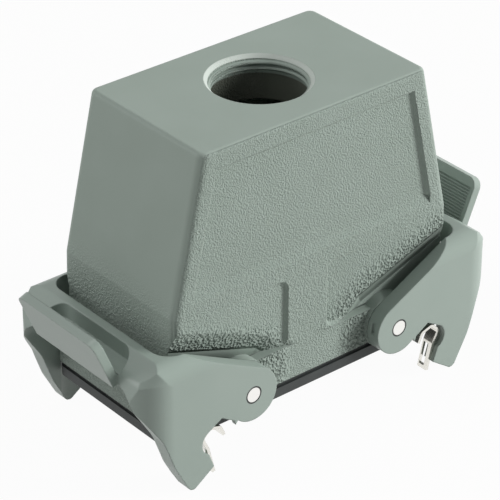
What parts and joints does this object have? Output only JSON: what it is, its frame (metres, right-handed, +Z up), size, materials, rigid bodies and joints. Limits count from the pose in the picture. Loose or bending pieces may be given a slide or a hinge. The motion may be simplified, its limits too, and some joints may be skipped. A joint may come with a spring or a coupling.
{
  "type": "rectangular connector hood",
  "caption": "Tapered die-cast connector hood with a threaded top cable entry, a screw-terminal socket insert and a locking lever hinged at each end.",
  "frame": {"origin": "on the ground under the middle of the hood, which stands on the four hook tips of its open levers", "axes": "+X along the hood from the left lever to the right lever, +Y across it, +Z up out of the cable entry"},
  "size_m": [0.125, 0.054, 0.0864],
  "materials": {
    "hood_casting": "matt grey powder coat with a fine orange-peel texture",
    "lever_moulding": "satin grey moulding",
    "seal_rubber": "matt",
    "stainless_steel": "bright",
    "insert_moulding": "light grey moulding",
    "contact_alloy": "silver plated",
    "zinc_plated_steel": "zinc plated"
  },
  "bodies": {
    "hood": {"hood_shell": "hood_casting", "hood_seal": "seal_rubber", "right_front_hinge_pin": "stainless_steel", "right_rear_hinge_pin": "stainless_steel", "left_front_hinge_pin": "stainless_steel", "left_rear_hinge_pin": "stainless_steel", "insert_body": "insert_moulding", "socket_contact_01": "contact_alloy", "socket_contact_02": "contact_alloy", "socket_contact_03": "contact_alloy", "socket_contact_04": "contact_alloy", "socket_contact_05": "contact_alloy", "socket_contact_06": "contact_alloy", "socket_contact_07": "contact_alloy", "socket_contact_08": "contact_alloy", "socket_contact_09": "contact_alloy", "socket_contact_10": "contact_alloy", "socket_contact_11": "contact_alloy", "socket_contact_12": "contact_alloy", "socket_contact_13": "contact_alloy", "socket_contact_14": "contact_alloy", "socket_contact_15": "contact_alloy", "socket_contact_16": "contact_alloy", "terminal_screws": "zinc_plated_steel", "insert_fixing_screws": "zinc_plated_steel", "left_earth_contact": "contact_alloy", "right_earth_contact": "contact_alloy", "earth_screws": "zinc_plated_steel"},
    "right_lever": {"right_lever": "lever_moulding", "right_front_latch_spring": "stainless_steel", "right_rear_latch_spring": "stainless_steel"},
    "left_lever": {"left_lever": "lever_moulding", "left_front_latch_spring": "stainless_steel", "left_rear_latch_spring": "stainless_steel"}
  },
  "joints": [
    {"name": "right_lever_hinge", "type": "hinge", "parent": "hood", "child": "right_lever", "pos_m": [0.02365, 0, 0.01934], "axis": [0, 1, 0], "range_deg": [0, 50]},
    {"name": "left_lever_hinge", "type": "hinge", "parent": "hood", "child": "left_lever", "pos_m": [-0.02365, 0, 0.01934], "axis": [0, -1, 0], "range_deg": [0, 50]}
  ]
}
